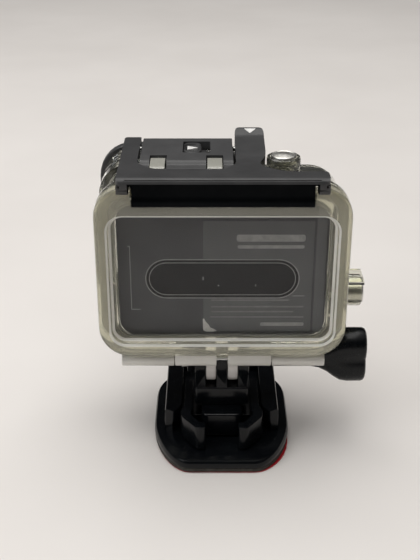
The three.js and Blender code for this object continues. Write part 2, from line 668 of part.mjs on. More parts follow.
// ---------------------------------------------------------------- camera inside the housing
const KEYS = {
  shutter: { at: [17, 17, CAMERA.top], out: 'z', radius: 4.2 },
  side: { at: [CAMERA.right, 18, SIDE_BUTTON_Z], out: 'x', radius: 2.8 },
  front: { at: [19, CAMERA_FRONT, 3], out: 'y', radius: 3.4 },
};
const DISPLAY = { left: 11.5, right: 26.5, bottom: -17.5, top: -7, radius: 1 };
const BATTERY = { left: -2.5, right: 25.5, bottom: -19.5, top: 14, radius: 2 };
const BATTERY_REAR = 13.8;
const BATTERY_FRONT = 21.2;
const STADIUM = { left: -21.8, right: 21.8, bottom: -10.5, top: 1.8, radius: 6.1 };
const LABEL = { left: -5.5, right: 25.6, bottom: -21.4, top: 13.4, radius: 0.4 };

function frontCase() {
  const shell = extrude(roundedBox(CAMERA), 'y', REAR_COVER_FRONT + 0.3, CAMERA_FRONT);
  const inner = roundedBox(shrink(CAMERA, CAMERA_WALL));
  const hollow = extrude(inner, 'y', REAR_COVER_FRONT, CAMERA_FRONT - CAMERA_WALL);
  const lensHole = rod('y', 9.2, CAMERA_FRONT - 5, CAMERA_FRONT + 1, PORT_X, PORT_Z, 32);
  const displaySeat = extrude(roundedBox(DISPLAY), 'y', CAMERA_FRONT - 0.9, CAMERA_FRONT + 1);
  const keyHoles = Object.values(KEYS).map((key) => placeOutward(
    turned([[0, -3], [key.radius + 0.2, -3], [key.radius + 0.2, 2], [0, 2]]), key));
  return cut(shell, hollow, lensHole, displaySeat, ...keyHoles);
}

function rearCover() {
  const plate = extrude(roundedBox(CAMERA), 'y', CAMERA_REAR, REAR_COVER_FRONT);
  const insetSeat = extrude(roundedBox(STADIUM), 'y', CAMERA_REAR - 1, CAMERA_REAR + 0.6);
  const labelSeat = extrude(roundedBox(LABEL), 'y', CAMERA_REAR - 1, CAMERA_REAR + 0.15);
  return cut(plate, labelSeat, insetSeat);
}

function rearLabel() {
  const sheet = extrude(roundedBox(shrink(LABEL, 0.1)), 'y', CAMERA_REAR - 0.05, CAMERA_REAR + 0.08);
  return cut(sheet, extrude(roundedBox(STADIUM), 'y', CAMERA_REAR - 1, CAMERA_REAR + 1));
}

function lensParts() {
  const group = new THREE.Group();
  group.position.set(PORT_X, 0, PORT_Z);
  group.rotation.x = -Math.PI / 2;
  const barrel = turned([
    [0, 14.6], [8.8, 14.6], [8.8, 29.9], [11.2, 30.6], [11.2, 35.2], [8.6, 35.2],
    [7.3, 33], [7.3, 31], [0, 31],
  ], 28);
  const ring = turned([[8.8, 35.4], [10.9, 35.4], [10.6, 36], [9, 36], [8.8, 35.4]], 28);
  const glass = turned([[0, 31.3], [7, 31.3], [7, 32.4], [5.4, 33.4], [2.9, 34.2], [0, 34.5]], 28);
  group.add(piece('lens_barrel', barrel, 'glossBlack'));
  group.add(piece('lens_ring', ring, 'steel'));
  group.add(piece('lens_front_glass', glass, 'glass'));
  return group;
}

function cameraParts() {
  const group = new THREE.Group();
  group.add(piece('camera_front_case', frontCase(), 'cameraGrey'));
  group.add(piece('camera_rear_cover', rearCover(), 'cameraGrey'));
  const inset = extrude(roundedBox(shrink(STADIUM, 0.2)), 'y', CAMERA_REAR + 0.05, CAMERA_REAR + 0.45);
  group.add(piece('rear_inset', inset, 'glossBlack'));
  group.add(piece('rear_label', rearLabel(), 'label'));
  group.add(lensParts());
  const display = extrude(
    roundedBox(shrink(DISPLAY, 0.2)), 'y', CAMERA_FRONT - 0.75, CAMERA_FRONT - 0.05);
  const cell = extrude(roundedBox(BATTERY), 'y', BATTERY_REAR, BATTERY_FRONT);
  const inner = {
    status_display: [display, 'glass'],
    circuit_board: [block(-26.5, 26.5, 10.9, 12.1, -18.5, 14.5), 'board'],
    image_sensor: [block(PORT_X - 7, PORT_X + 7, 12.4, 14.3, -3.5, 10.5), 'board'],
    memory_card: [block(3, 18, 12.4, 13.2, -17, -6), 'rubber'],
    battery: [cell, 'battery'],
  };
  Object.entries(inner).forEach(([name, [solid, finish]]) => group.add(piece(name, solid, finish)));
  Object.entries(KEYS).forEach(([name, key]) => {
    const disc = turned([
      [0, 0.3 - KEY_DEPTH], [key.radius, 0.3 - KEY_DEPTH], [key.radius, 0.1],
      [key.radius - 0.3, 0.3], [0, 0.3],
    ]);
    const mesh = piece(`camera_${name}_key`, disc, 'steel');
    if (key.out !== 'z') {
      mesh.setRotationFromMatrix(UPRIGHT[key.out]);
    }
    mesh.position.set(...key.at);
    group.add(mesh);
  });
  return group;
}

// ---------------------------------------------------------------- assembly
function housingParts() {
  const group = new THREE.Group();
  group.position.copy(HOUSING_ORIGIN);
  group.add(piece('housing_shell', housingShell(), 'clear'));
  group.add(piece('back_door', backDoor(), 'clear'));
  group.add(piece('door_seal', doorSeal(), 'seal'));
  const hingePin = rod('x', HINGE_PIN_R, HINGE_SPLITS[0] + 0.3, HINGE_SPLITS[5] - 0.3, HINGE_Y, HINGE_Z, 12);
  group.add(piece('door_hinge_pin', hingePin, 'steel'));
  group.add(portParts());
  group.add(latchParts());
  Object.entries(BUTTONS).forEach(([name, button]) => group.add(buttonGroup(name, button)));
  group.add(cameraParts());
  return group;
}

const actionCamera = new THREE.Group();
actionCamera.add(mountParts());
actionCamera.add(buckleParts());
actionCamera.add(housingParts());

export default actionCamera;
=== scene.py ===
"""Looks of the action camera in its clear housing. Lengths are millimetres until they meet MM."""
import json
import math

import bpy
import bmesh
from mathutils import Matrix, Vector


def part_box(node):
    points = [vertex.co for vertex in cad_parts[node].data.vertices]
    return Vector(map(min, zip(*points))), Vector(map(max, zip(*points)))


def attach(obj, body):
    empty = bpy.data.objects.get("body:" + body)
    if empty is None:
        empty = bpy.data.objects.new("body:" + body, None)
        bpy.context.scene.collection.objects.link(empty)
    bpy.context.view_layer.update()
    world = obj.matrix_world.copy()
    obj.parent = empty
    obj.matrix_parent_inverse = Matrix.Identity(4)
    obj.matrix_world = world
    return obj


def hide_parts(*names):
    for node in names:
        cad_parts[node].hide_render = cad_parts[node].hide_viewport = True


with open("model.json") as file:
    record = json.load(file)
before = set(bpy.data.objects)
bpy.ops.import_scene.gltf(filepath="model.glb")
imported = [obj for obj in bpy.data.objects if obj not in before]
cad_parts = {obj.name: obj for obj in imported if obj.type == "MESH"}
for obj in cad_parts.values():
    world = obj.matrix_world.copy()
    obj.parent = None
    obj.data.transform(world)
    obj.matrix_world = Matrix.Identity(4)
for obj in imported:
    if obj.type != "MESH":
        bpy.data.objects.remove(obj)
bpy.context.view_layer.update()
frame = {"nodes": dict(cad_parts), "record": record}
NODES = frame["nodes"]
SLOT_OF = {row["node"]: row["material_slot"] for row in frame["record"]["subparts"]}

MM = 0.001
TAU = math.tau

# the housing's own frame: x across, y forward from the door's rear plane, z up
SHELL_LOW, SHELL_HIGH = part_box("housing_shell")
DOOR_LOW, DOOR_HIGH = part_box("back_door")
FLANGE_TOP = 25.0
HOME = Vector((0.0, DOOR_LOW.y / MM, DOOR_HIGH.z / MM - FLANGE_TOP))

# outlines in that frame: left, right, bottom, top, corner radius
FLANGE = (-35, 35, -26.7, FLANGE_TOP, 9)
BODY = (-33.5, 33.5, -25, 23.5, 9)
CAVITY = (-30.2, 30.2, -22.6, 19.6, 5)
RECESS = (-31.3, 31.3, -22.6, 16.2, 4)
PLUG = (-29.7, 29.7, -22, 19, 4.5)
CAMERA = (-29.5, 29.5, -22.4, 19, 4.5)
STADIUM = (-21.8, 21.8, -10.5, 1.8, 6.1)
LABEL = (-5.5, 25.6, -21.4, 13.4, 0.4)

DOOR_DEPTH = 4.0
WINDOW_REAR = 2.7
PLUG_FRONT = 5.3
FLANGE_REAR = 4.3
FLANGE_FRONT = 7.0
BODY_FRONT = 27.0
BODY_EDGE = 5.0
CAVITY_FRONT = 24.6
CAMERA_REAR = 6.0
GROOVE_OUTER = (-34.2, 34.2, -24.8, 23.2, 8)
GROOVE_INNER = (-31.4, 31.4, -23.2, 20.8, 5.5)
GROOVE_FLOOR = 5.9
SEAL_OUTER = (-34, 34, -24.6, 23, 7.8)
SEAL_INNER = (-31.6, 31.6, -23.4, 21, 5.7)
HINGE = (3.2, -29.2)
HINGE_R = 1.9
HINGE_SPLITS = (-29.0, -13.8, -13.6, 14.2, 14.4, 29.6)
HINGE_SPAN = (-30.0, 30.6)
LATCH = (8.7, 25.2)
KNUCKLES = ((-19.8, -15.8), (-4.2, -0.2))
LATCH_BORE_R = 1.35
LATCH_RELIEF_R = 3.5
LEVER = (-22.8, 2.9, 32.3)
HOOK_FRONT = 32.6
PORT = (-15.0, 3.5)
PORT_BLOCK = (41, 9.5)
PORT_FRAME = (43, 10)
PORT_OPENING = (31, 7)
PORT_SEAT = (35.4, 8.5)
PORT_BORE_R = 15.5
PORT_BLOCK_FRONT = 36.2
PORT_SCREW_OFFSET = 16.9
BOLT = (12.0, -33.0)
PRONG_R = 7.3
PRONG_X = (-3.2, 3.2)
PRONG_HALF = 1.45
ROOT_HALF = 1.38
BOLT_BORE_R = 2.7
HINGE_BORE_R = 1.0
BOLT_Z = 26.0


# ------------------------------------------------------------------ geometry helpers
def new_object(name, bm):
    mesh = bpy.data.meshes.new(name)
    bmesh.ops.recalc_face_normals(bm, faces=bm.faces)
    bm.to_mesh(mesh)
    bm.free()
    obj = bpy.data.objects.new(name, mesh)
    bpy.context.scene.collection.objects.link(obj)
    return obj


def rounded(left, right, bottom, top, radius, steps=8):
    """A rounded rectangle, anticlockwise."""
    centres = [
        (right - radius, bottom + radius, -0.25),
        (right - radius, top - radius, 0.0),
        (left + radius, top - radius, 0.25),
        (left + radius, bottom + radius, 0.5),
    ]
    points = []
    for cx, cy, turn in centres:
        for i in range(steps + 1):
            angle = TAU * (turn + 0.25 * i / steps)
            points.append((cx + radius * math.cos(angle), cy + radius * math.sin(angle)))
    return points


def inset(points, amount):
    """Moves a closed anticlockwise outline inwards by amount."""
    moved = []
    count = len(points)
    for i, (x, y) in enumerate(points):
        ax, ay = points[i - 1]
        bx, by = points[(i + 1) % count]
        before = Vector((x - ax, y - ay))
        after = Vector((bx - x, by - y))
        before = before.normalized() if before.length > 1e-6 else after.normalized()
        after = after.normalized() if after.length > 1e-6 else before
        normal = Vector((-before.y - after.y, before.x + after.x))
        normal = normal.normalized() if normal.length > 1e-6 else Vector((-after.y, after.x))
        stretch = max(0.5, normal.dot(Vector((-after.y, after.x))))
        moved.append((x + normal.x * amount / stretch, y + normal.y * amount / stretch))
    return moved


def place(axis, a, b, depth):
    """Outline coordinates to a point: (y, z) along x, (x, z) along y, (x, y) along z."""
    if axis == "x":
        return (depth, a, b)
    if axis == "y":
        return (a, depth, b)
    return (a, b, depth)


def stack(name, rings, closed=False, home=None):
    """Skins rings of equal length. Open stacks get end caps, closed ones run back to the first ring."""
    shift = Vector(home) if home is not None else Vector()
    bm = bmesh.new()
    rows = [[bm.verts.new((Vector(p) + shift) * MM) for p in ring] for ring in rings]
    count = len(rows[0])
    pairs = list(zip(rows, rows[1:])) + ([(rows[-1], rows[0])] if closed else [])
    for low, high in pairs:
        for i in range(count):
            k = (i + 1) % count
            bm.faces.new((low[i], low[k], high[k], high[i]))
    if not closed:
        bm.faces.new(list(reversed(rows[0])))
        bm.faces.new(rows[-1])
    return new_object(name, bm)


def soften(corners, steps=5):
    """An outline from corners (a, b, how far the rounding reaches along each side)."""
    points = []
    for i, (a, b, reach) in enumerate(corners):
        here = Vector((a, b))
        if not reach:
            points.append((a, b))
            continue
        before = here + (Vector(corners[i - 1][:2]) - here).normalized() * reach
        after = here + (Vector(corners[(i + 1) % len(corners)][:2]) - here).normalized() * reach
        for k in range(steps + 1):
            t = k / steps
            points.append(tuple(before * (1 - t) ** 2 + here * 2 * t * (1 - t) + after * t ** 2))
    return points


def prism(name, outline, low, high, axis="z", home=None):
    """An outline extruded straight along an axis."""
    rings = [[place(axis, a, b, depth) for a, b in outline] for depth in (low, high)]
    return stack(name, rings, False, home)


def skin(name, levels, axis="y", home=None, closed=False):
    """A stack of several outlines: levels are (outline, inset, depth)."""
    rings = [[place(axis, a, b, depth) for a, b in inset(outline, amount)]
             for outline, amount, depth in levels]
    return stack(name, rings, closed, home)


def plate(name, outline, levels, axis="z", home=None):
    """A stack of one outline: levels are (inset, depth)."""
    rings = [[place(axis, a, b, depth) for a, b in inset(outline, amount)] for amount, depth in levels]
    return stack(name, rings, False, home)


def slab(name, outline, low, high, axis="z", home=None, edge=0.0, steps=3):
    """An extruded outline with rounded edges of radius edge."""
    levels = []
    for i in range(steps + 1 if edge else 1):
        angle = TAU / 4 * i / steps
        levels.append((edge * (1 - math.sin(angle)), low + edge * (1 - math.cos(angle))))
    upper = [(amount, low + high - depth) for amount, depth in reversed(levels)]
    return plate(name, outline, levels + upper, axis, home)


def turned(name, profile, axis, centre, segments=48, home=None):
    """A turned piece. Profile points are (radius, distance along the axis from centre)."""
    rings = []
    for radius, along in profile:
        ring = []
        for i in range(segments):
            angle = TAU * i / segments
            a, b = max(radius, 1e-3) * math.cos(angle), max(radius, 1e-3) * math.sin(angle)
            x, y, z = place(axis, a, b, along)
            ring.append((x + centre[0], y + centre[1], z + centre[2]))
        rings.append(ring)
    return stack(name, rings, False, home)


def coil(name, axis, centre, radius, wire, turns, length, home=None, sides=10, per_turn=32):
    """A coil of round wire along an axis."""
    count = turns * per_turn
    rings = []
    for i in range(count + 1):
        t = i / count
        angle = TAU * turns * t
        ring = []
        for k in range(sides):
            around = TAU * k / sides
            r = radius + wire * math.cos(around)
            along = length * t + wire * math.sin(around)
            x, y, z = place(axis, r * math.cos(angle), r * math.sin(angle), along)
            ring.append((x + centre[0], y + centre[1], z + centre[2]))
        rings.append(ring)
    return stack(name, rings, False, home)


def box(name, low, high, home=None):
    outline = [(low[0], low[1]), (high[0], low[1]), (high[0], high[1]), (low[0], high[1])]
    rings = [[(x, y, z) for x, y in outline] for z in (low[2], high[2])]
    return stack(name, rings, False, home)


def bevel(obj, width, segments=2, angle=35):
    mod = obj.modifiers.new("edge", "BEVEL")
    mod.width = width * MM
    mod.segments = segments
    mod.limit_method = "ANGLE"
    mod.angle_limit = math.radians(angle)
    mod.harden_normals = False
    mod.use_clamp_overlap = True
    return mod


def bake(obj):
    """Applies the modifiers of a new object."""
    depsgraph = bpy.context.evaluated_depsgraph_get()
    mesh = bpy.data.meshes.new_from_object(obj.evaluated_get(depsgraph))
    obj.modifiers.clear()
    old = obj.data
    obj.data = mesh
    bpy.data.meshes.remove(old)
    return obj


def combine(target, tools, operation):
    """Joins the tools to the target, or cuts them from it, and removes them."""
    for tool in tools:
        mod = target.modifiers.new("boolean", "BOOLEAN")
        mod.operation = operation
        mod.solver = "EXACT"
        mod.object = tool
        bake(target)
        bpy.data.objects.remove(tool, do_unlink=True)
    return target


def merge(name, parts):
    """One object of several closed bodies."""
    bm = bmesh.new()
    for part in parts:
        bake(part)
        bm.from_mesh(part.data)
        bpy.data.objects.remove(part, do_unlink=True)
    return new_object(name, bm)


def smooth(obj, angle=32):
    for polygon in obj.data.polygons:
        polygon.use_smooth = True
    with bpy.context.temp_override(object=obj, active_object=obj, selected_objects=[obj],
                                   selected_editable_objects=[obj]):
        bpy.ops.object.shade_smooth_by_angle(angle=math.radians(angle))


def finish_piece(obj, body, material, nodes=(), angle=32):
    """Gives a new piece its shading, material and body, and hides the CAD nodes it stands for."""
    smooth(obj, angle)
    obj.data.materials.clear()
    obj.data.materials.append(material)
    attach(obj, body)
    if nodes:
        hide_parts(*nodes)
    return obj


# ------------------------------------------------------------------ materials
def node_of(material, kind, **values):
    node = material.node_tree.nodes.new(kind)
    for key, value in values.items():
        if key in node.inputs:
            node.inputs[key].default_value = value
        else:
            setattr(node, key, value)
    return node


def wire(material, source, target):
    material.node_tree.links.new(source, target)


def noise(material, scale, detail=3.0, roughness=0.55, stretch=(1, 1, 1)):
    coords = node_of(material, "ShaderNodeTexCoord")
    mapping = node_of(material, "ShaderNodeMapping")
    mapping.inputs["Scale"].default_value = stretch
    texture = node_of(material, "ShaderNodeTexNoise", Scale=scale, Detail=detail, Roughness=roughness)
    wire(material, coords.outputs["Object"], mapping.inputs["Vector"])
    wire(material, mapping.outputs["Vector"], texture.inputs["Vector"])
    return texture.outputs["Fac"]


def ramp(material, source, low, high, low_at=0.35, high_at=0.65):
    node = node_of(material, "ShaderNodeValToRGB")
    node.color_ramp.elements[0].position = low_at
    node.color_ramp.elements[0].color = (*low, 1)
    node.color_ramp.elements[1].position = high_at
    node.color_ramp.elements[1].color = (*high, 1)
    wire(material, source, node.inputs["Fac"])
    return node.outputs["Color"]


def span(material, source, low, high, from_low=0.3, from_high=0.7):
    node = node_of(material, "ShaderNodeMapRange")
    node.inputs["From Min"].default_value = from_low
    node.inputs["From Max"].default_value = from_high
    node.inputs["To Min"].default_value = low
    node.inputs["To Max"].default_value = high
    wire(material, source, node.inputs["Value"])
    return node.outputs["Result"]


def bump(material, source, depth_mm, strength=1.0):
    node = node_of(material, "ShaderNodeBump", Strength=strength, Distance=depth_mm * MM)
    wire(material, source, node.inputs["Height"])
    return node.outputs["Normal"]


def surface(name, **sockets):
    material = bpy.data.materials.new(name)
    material.use_nodes = True
    shader = material.node_tree.nodes["Principled BSDF"]
    for key, value in sockets.items():
        shader.inputs[key.replace("_", " ")].default_value = value
    return material, shader


def moulded(name, dark, light, rough_low, rough_high, grain=1800, grain_depth=0.012, cloud=120, gloss=0.5):
    """Moulded plastic: cloudy colour, uneven gloss and a fine grain."""
    material, shader = surface(name)
    shader.inputs["Specular IOR Level"].default_value = gloss
    clouds = noise(material, cloud, 4)
    wire(material, ramp(material, clouds, dark, light), shader.inputs["Base Color"])
    wear = noise(material, cloud * 3.5, 5, 0.7)
    wire(material, span(material, wear, rough_low, rough_high), shader.inputs["Roughness"])
    wire(material, bump(material, noise(material, grain, 2), grain_depth), shader.inputs["Normal"])
    return material


def metal(name, dark, light, rough_low, rough_high, stretch=(1, 1, 1), depth=0.004):
    material, shader = surface(name, Metallic=1.0)
    streaks = noise(material, 900, 4, 0.6, stretch)
    wire(material, ramp(material, streaks, dark, light), shader.inputs["Base Color"])
    wire(material, span(material, streaks, rough_low, rough_high), shader.inputs["Roughness"])
    wire(material, bump(material, streaks, depth), shader.inputs["Normal"])
    return material


def clear_plastic(name, tint_low, tint_high, rough_low, rough_high, transmission, depth=0.002, ior=1.49):
    """Clear polycarbonate with fine scratches, some yellowing and some haze. Also makes the whitish painted
    highlight around the window.
    """
    material, shader = surface(name, IOR=ior)
    shader.inputs["Transmission Weight"].default_value = transmission
    haze = noise(material, 60, 4)
    wire(material, ramp(material, haze, tint_low, tint_high), shader.inputs["Base Color"])
    scratches = noise(material, 500, 5, 0.75, (1, 1, 0.25))
    wire(material, span(material, scratches, rough_low, rough_high, 0.5, 0.8), shader.inputs["Roughness"])
    wire(material, bump(material, scratches, depth, 0.3), shader.inputs["Normal"])
    return material


# two tints, lowest and highest roughness, transmission, then scratch depth in mm and IOR
CLEAR = {
    "clear_shell": ((0.86, 0.86, 0.76), (0.95, 0.95, 0.87), 0.0, 0.08, 0.97),
    "clear_rim": ((0.70, 0.68, 0.55), (0.80, 0.78, 0.65), 0.06, 0.2, 0.74),
    # whitish, less see-through painted highlight for the bright lines around the window's recess
    "clear_edge": ((0.86, 0.85, 0.80), (0.97, 0.96, 0.92), 0.1, 0.25, 0.25),
    "clear_prong": ((0.84, 0.81, 0.78), (0.94, 0.91, 0.88), 0.1, 0.25, 0.2),
    "clear_window": ((0.96, 0.96, 0.95), (1.0, 1.0, 0.99), 0.0, 0.012, 1.0, 0.0004, 1.22),
    "clear_hazy": ((0.92, 0.90, 0.84), (0.99, 0.97, 0.92), 0.06, 0.12, 0.35, 0.0004),
    "clear_knuckle": ((0.70, 0.69, 0.61), (0.82, 0.81, 0.73), 0.08, 0.18, 0.55, 0.0004),
}

# two colours, lowest and highest roughness, then grain size and depth, cloud size and specular level
MOULDED = {
    "mount_gloss": ((0.002, 0.0025, 0.0035), (0.004, 0.005, 0.006), 0.12, 0.26, 2600, 0.002, 160, 0.26),
    "knob_black": ((0.002, 0.003, 0.004), (0.004, 0.005, 0.006), 0.2, 0.34, 2200, 0.003, 120, 0.24),
    "latch_black": ((0.040, 0.040, 0.041), (0.050, 0.050, 0.051), 0.34, 0.46, 2600, 0.008, 120, 0.35),
    "lever_black": ((0.054, 0.054, 0.055), (0.066, 0.066, 0.067), 0.36, 0.48, 2600, 0.008, 120, 0.35),
    # near-black, low-sheen painted shade for the latch hook's undercut lip, darker than the hook's own
    # plastic
    "recess_black": ((0.002, 0.003, 0.004), (0.004, 0.005, 0.006), 0.5, 0.7, 2600, 0.004, 120, 0.06),
    "lens_black": ((0.010, 0.010, 0.011), (0.018, 0.018, 0.019), 0.25, 0.45),
    "camera_case": ((0.108, 0.109, 0.114), (0.120, 0.121, 0.126), 0.5, 0.65, 2400, 0.0015, 120, 0.12),
    "inset": ((0.029, 0.029, 0.031), (0.034, 0.034, 0.036), 0.45, 0.6, 2400, 0.001, 120, 0.12),
    "label": ((0.165, 0.166, 0.171), (0.185, 0.186, 0.191), 0.45, 0.6, 2400, 0.001, 120, 0.15),
    "display": ((0.20, 0.22, 0.18), (0.26, 0.28, 0.24), 0.15, 0.25, 1200, 0.002),
    "seal": ((0.52, 0.50, 0.385), (0.64, 0.62, 0.49), 0.45, 0.6, 1500, 0.01),
    "rubber": ((0.010, 0.010, 0.010), (0.020, 0.020, 0.020), 0.5, 0.7),
    "foam": ((0.030, 0.027, 0.022), (0.060, 0.054, 0.046), 0.8, 0.95, 1400, 0.12, 900),
    "liner": ((0.36, 0.008, 0.014), (0.50, 0.015, 0.025), 0.35, 0.5, 1600, 0.01),
    "board": ((0.010, 0.060, 0.030), (0.02, 0.11, 0.06), 0.3, 0.5, 900, 0.05, 700),
    "battery": ((0.16, 0.17, 0.19), (0.24, 0.25, 0.27), 0.3, 0.45),
    "print_light": ((0.34, 0.34, 0.335), (0.46, 0.46, 0.45), 0.5, 0.6, 3000, 0.002, 500),
    "print_dim": ((0.22, 0.22, 0.215), (0.30, 0.30, 0.295), 0.5, 0.6, 3000, 0.002, 500),
    "print_white": ((0.70, 0.69, 0.67), (0.86, 0.85, 0.83), 0.5, 0.65, 2600, 0.004, 500),
}

# two colours, lowest and highest roughness, then how the streaks are stretched
METAL = {
    "steel": ((0.42, 0.42, 0.41), (0.66, 0.66, 0.64), 0.18, 0.34, (0.15, 1, 1)),
    "button_metal": ((0.62, 0.61, 0.57), (0.76, 0.75, 0.71), 0.34, 0.46),
}

MATERIALS = {}
for make, rows in ((clear_plastic, CLEAR), (moulded, MOULDED), (metal, METAL)):
    for finish, values in rows.items():
        MATERIALS[finish] = make(finish, *values)


def port_glass_material():
    material, shader = surface("port_glass", IOR=1.5)
    shader.inputs["Transmission Weight"].default_value = 1.0
    smears = noise(material, 90, 5, 0.7)
    wire(material, ramp(material, smears, (0.92, 0.95, 0.98), (1, 1, 1)), shader.inputs["Base Color"])
    wire(material, span(material, smears, 0.0, 0.04), shader.inputs["Roughness"])
    return material


MATERIALS["port_glass"] = port_glass_material()


# ------------------------------------------------------------------ CAD nodes that stay
EDGE_OF = {"camera_front_case": 0.6, "thumb_nut": 0.25}


def dress_node(name, obj):
    """Cleans a node's flat faces, rounds the edges of the nodes in EDGE_OF a little and gives it its slot's
    material.
    """
    weld = obj.modifiers.new("weld", "WELD")
    weld.merge_threshold = 0.002 * MM
    flat = obj.modifiers.new("flat", "DECIMATE")
    flat.decimate_type = "DISSOLVE"
    flat.angle_limit = math.radians(0.8)
    if name in EDGE_OF:
        bevel(obj, EDGE_OF[name], 2, 38)
    smooth(obj, 34)
    obj.data.materials.clear()
    obj.data.materials.append(MATERIALS[SLOT_OF[name]])


for node_name, node_object in NODES.items():
    dress_node(node_name, node_object)


# ------------------------------------------------------------------ housing
def rod(name, radius, low, high, at, axis="x", home=HOME, segments=40, edge=0.0):
    """A round bar along an axis, with its ends rounded by edge. at is (y, z), (x, z) or (x, y)."""
    x, y, z = place(axis, at[0], at[1], 0)
    profile = [(radius - edge, low), (radius - edge * 0.3, low + edge * 0.3), (radius, low + edge),
               (radius, high - edge), (radius - edge * 0.3, high - edge * 0.3), (radius - edge, high)]
    if not edge:
        profile = [profile[2], profile[3]]
    return turned(name, profile, axis, (x, y, z), segments, home)


def hinge_barrel(low, high):
    y, z = HINGE
    foot = FLANGE[2] + 0.7
    corners = [(y + 0.4, z - 0.8), (y + 1.9, z), (FLANGE_FRONT - 0.4, foot), (FLANGE_REAR + 0.1, foot),
               (FLANGE_REAR + 0.1, foot - 1.4)]
    web = prism("web", corners, low, high, "x", HOME)
    return [rod("barrel", HINGE_R, low, high, HINGE, edge=0.25), web]


BUTTONS = {
    "shutter": {"at": (17, 17, 23.5), "axis": "z", "cap": 3.6, "boss": 4.75, "top": 4.5, "wall": 3.9},
    "side": {"at": (33.5, 18, -14.4), "axis": "x", "cap": 3.6, "boss": 4.4, "top": 7.6, "wall": 3.3},
    "front": {"at": (19, BODY_FRONT, 3), "axis": "y", "cap": 3.4, "boss": 4.2, "top": 3.6, "wall": 2.4},
}
CUP_FLOOR = 1.2
STEM_R = 1.2


def button_boss(button):
    r, top = button["boss"], button["top"]
    profile = [(0, -0.4), (r, -0.4), (r, top - 0.5), (r - 0.15, top - 0.15), (r - 0.4, top), (0, top)]
    return turned("boss", profile, button["axis"], button["at"], 56, HOME)


def button_bore(button):
    cup, wall, top = button["cap"] + 0.2, button["wall"], button["top"]
    profile = [(0, -wall - 1), (2.3, -wall - 1), (2.3, -wall + 1.7), (STEM_R + 0.15, -wall + 1.7),
               (STEM_R + 0.15, CUP_FLOOR), (cup - 0.4, CUP_FLOOR), (cup, CUP_FLOOR + 0.4), (cup, top + 1),
               (0, top + 1)]
    return turned("bore", profile, button["axis"], button["at"], 48, HOME)


def around_port(size, radius, steps=8):
    x, z = PORT
    return rounded(x - size / 2, x + size / 2, z - size / 2, z + size / 2, radius, steps)


def port_block():
    """The square tube that carries the lens port, with three shallow ridges around it."""
    outline = around_port(*PORT_BLOCK)
    levels = [(outline, 0.0, BODY_FRONT - BODY_EDGE)]
    for start in (26.2, 29.4, 32.6):
        levels += [(outline, 0.0, start), (outline, 0.55, start + 0.5), (outline, 0.55, start + 1.5),
                   (outline, 0.0, start + 2.0)]
    levels.append((outline, 0.0, PORT_BLOCK_FRONT))
    return skin("port_block", levels, "y", HOME)


def housing_prong(x):
    root = [(6.6, BODY[2] + 0.2), (19.3, BODY[2] + 0.2), (BOLT[0] + 7.2, BOLT[1]), (BOLT[0] - 7.2, BOLT[1])]
    return [rod("prong", PRONG_R, x - PRONG_HALF, x + PRONG_HALF, BOLT, edge=0.3, segments=56),
            prism("root", root, x - ROOT_HALF, x + ROOT_HALF, "x", HOME)]


def latch_knuckle(low, high):
    """A clear block around the latch pin, rounded at the back and flat on top."""
    profile = soften([(5.5, 21.2, 0), (5.5, 28.4, 3.0), (14.8, 28.4, 0.8), (14.8, 23.2, 0), (11.3, 21.2, 0)])
    return prism("knuckle", profile, low, high, "x", HOME)


def second_finish(obj, material, chosen):
    """Paints the faces whose centres, in the housing's frame, pass the test."""
    obj.data.materials.append(MATERIALS[material])
    for face in obj.data.polygons:
        if chosen(*(face.center / MM - HOME)):
            face.material_index = len(obj.data.materials) - 1
    return obj


def housing_shell():
    body = rounded(*BODY)
    levels = [(body, 0.0, FLANGE_REAR)]
    for i in range(7):
        angle = TAU / 4 * i / 6
        depth = BODY_FRONT - BODY_EDGE * (1 - math.sin(angle))
        levels.append((body, BODY_EDGE * (1 - math.cos(angle)), depth))
    shell = skin("housing_shell_clear", levels, "y", HOME)
    flange = slab("flange", rounded(*FLANGE), FLANGE_REAR, FLANGE_FRONT, "y", HOME, 0.35)
    rib = box("rib", (BODY[1] - 0.5, 13.5, -10.3), (41.5, 22.5, -9.3), HOME)
    combine(shell, [flange, port_block(), rib, *map(button_boss, BUTTONS.values())], "UNION")

    cavity = rounded(*CAVITY)
    hollow = skin("hollow", [(cavity, 0, 3), (cavity, 0, CAVITY_FRONT - 1.2),
                             (cavity, 0.4, CAVITY_FRONT - 0.35), (cavity, 1.2, CAVITY_FRONT)], "y", HOME)
    lens_bore = rod("lens_bore", PORT_BORE_R, CAVITY_FRONT - 1, PORT_BLOCK_FRONT + 1, PORT, "y", segments=72)
    groove_outer, groove_inner = rounded(*GROOVE_OUTER), rounded(*GROOVE_INNER)
    groove = skin("groove", [(groove_outer, 0, 3), (groove_outer, 0, GROOVE_FLOOR),
                             (groove_inner, 0, GROOVE_FLOOR), (groove_inner, 0, 3)], "y", HOME, True)
    relief = rod("relief", LATCH_RELIEF_R, -23.2, 3.3, LATCH, segments=56)
    bores = [button_bore(button) for button in BUTTONS.values()]
    combine(shell, [hollow, lens_bore, groove, relief, *bores], "DIFFERENCE")

    extra = [latch_knuckle(*pair) for pair in KNUCKLES]
    for pair in (HINGE_SPLITS[:2], HINGE_SPLITS[4:]):
        extra += hinge_barrel(*pair)
    combine(shell, extra, "UNION")
    for x in PRONG_X:
        for part in housing_prong(x):
            combine(shell, [part], "UNION")
    pins = [rod("latch_bore", LATCH_BORE_R, -25, 5, LATCH, segments=20),
            rod("hinge_bore", HINGE_BORE_R, *HINGE_SPAN, HINGE, segments=20),
            rod("bolt_bore", BOLT_BORE_R, -6, 6, BOLT, segments=32)]
    combine(shell, pins, "DIFFERENCE")
    finish_piece(shell, "housing", MATERIALS["clear_shell"], ["housing_shell"], 28)
    second_finish(shell, "clear_hazy", lambda x, y, z: z < -27)
    second_finish(shell, "clear_knuckle", lambda x, y, z: z > 23.6 and y < 15.5 and abs(x + 10) < 10)
    return second_finish(shell, "clear_prong", lambda x, y, z: abs(x) < 5 and z < -25.1 and y > 4.5)


